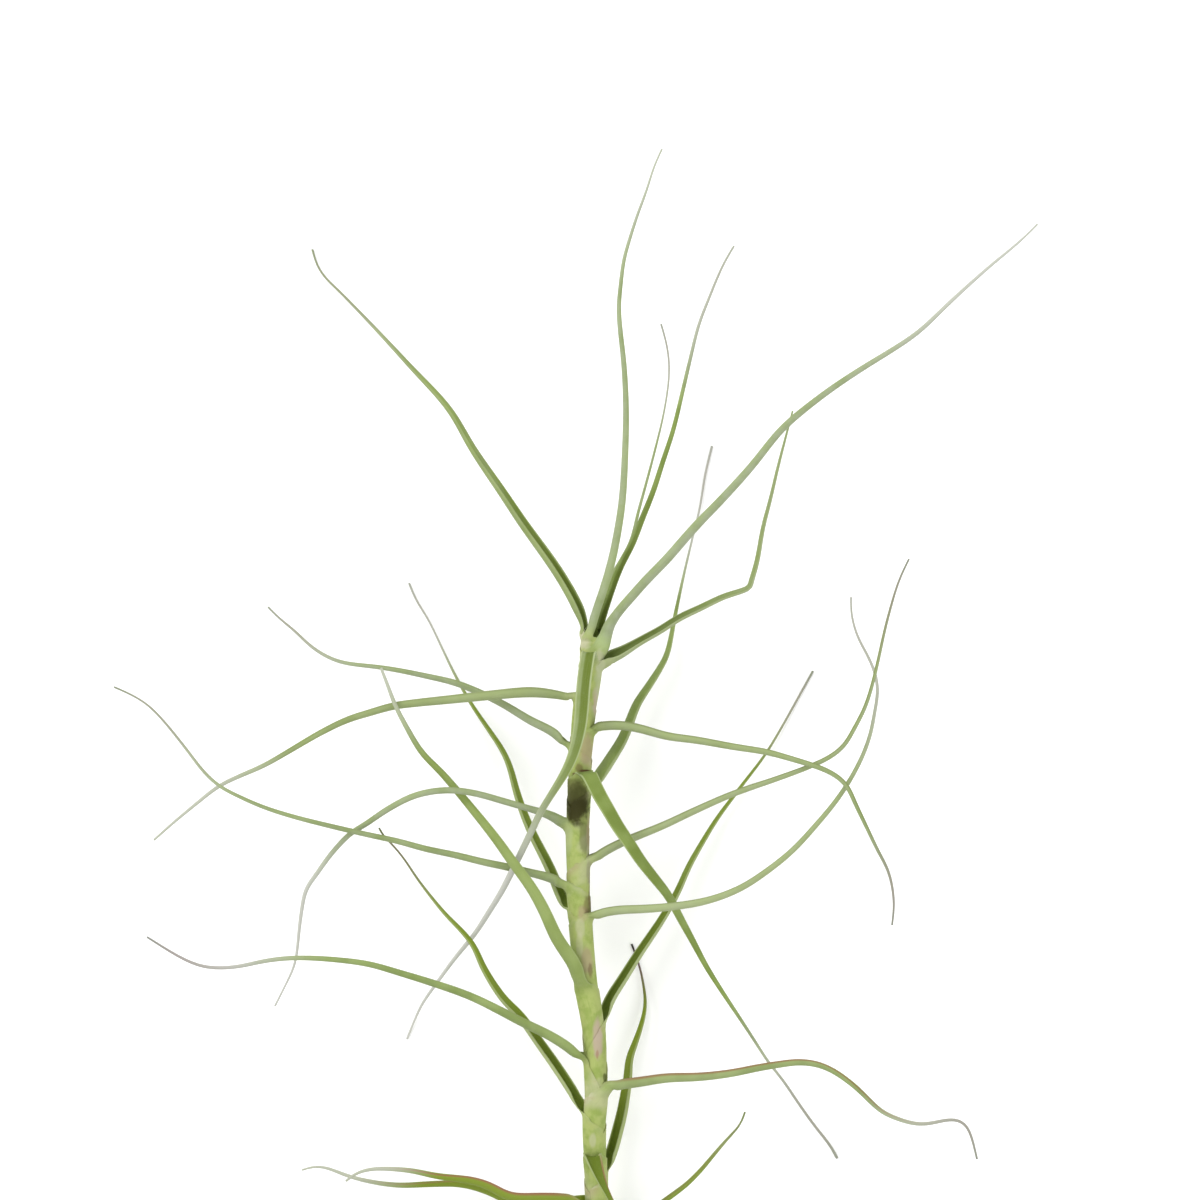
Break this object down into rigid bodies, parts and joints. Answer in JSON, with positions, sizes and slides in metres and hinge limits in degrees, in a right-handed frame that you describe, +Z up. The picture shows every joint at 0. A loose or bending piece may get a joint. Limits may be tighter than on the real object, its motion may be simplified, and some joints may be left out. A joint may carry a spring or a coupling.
{
  "type": "air plant",
  "caption": "Cut air plant lying down: a sheathed stem with narrow channelled leaves that leave it in a spiral, bend and loop outwards and end in threads.",
  "frame": {"origin": "bottom centre of the plant's box: on the surface it lies on, under the middle of its length and width", "axes": "+Y along the stem from its cut end to its growing tip, +X to the right of the picture, +Z up from the surface towards the viewer"},
  "size_m": [0.2774, 0.3615, 0.0623],
  "materials": {
    "leaf": "matt green leaf with a grey bloom, paler and creamier on the sheaths",
    "stem": "dry, pale brown woody core"
  },
  "bodies": {
    "root": {"stem": "stem", "leaf_top_thin": "leaf", "leaf_top_centre": "leaf", "leaf_top_right": "leaf", "leaf_top_left": "leaf", "leaf_long_right": "leaf", "leaf_front_hanging": "leaf", "leaf_kinked": "leaf", "leaf_left_long": "leaf", "leaf_right_hooked": "leaf", "leaf_left_rising": "leaf", "leaf_front_right": "leaf", "leaf_back_right": "leaf", "leaf_left_arched": "leaf", "leaf_right_swept": "leaf", "leaf_left_low": "leaf", "leaf_back_left": "leaf", "leaf_right_looped": "leaf", "leaf_front_left": "leaf", "leaf_back_right_low": "leaf", "leaf_left_spread": "leaf", "leaf_right_wavy": "leaf", "leaf_back_left_low": "leaf", "leaf_front_low": "leaf", "leaf_back_short": "leaf", "leaf_bottom_left_upper": "leaf", "leaf_bottom_right": "leaf", "leaf_bottom_left_lower": "leaf"}
  },
  "joints": []
}
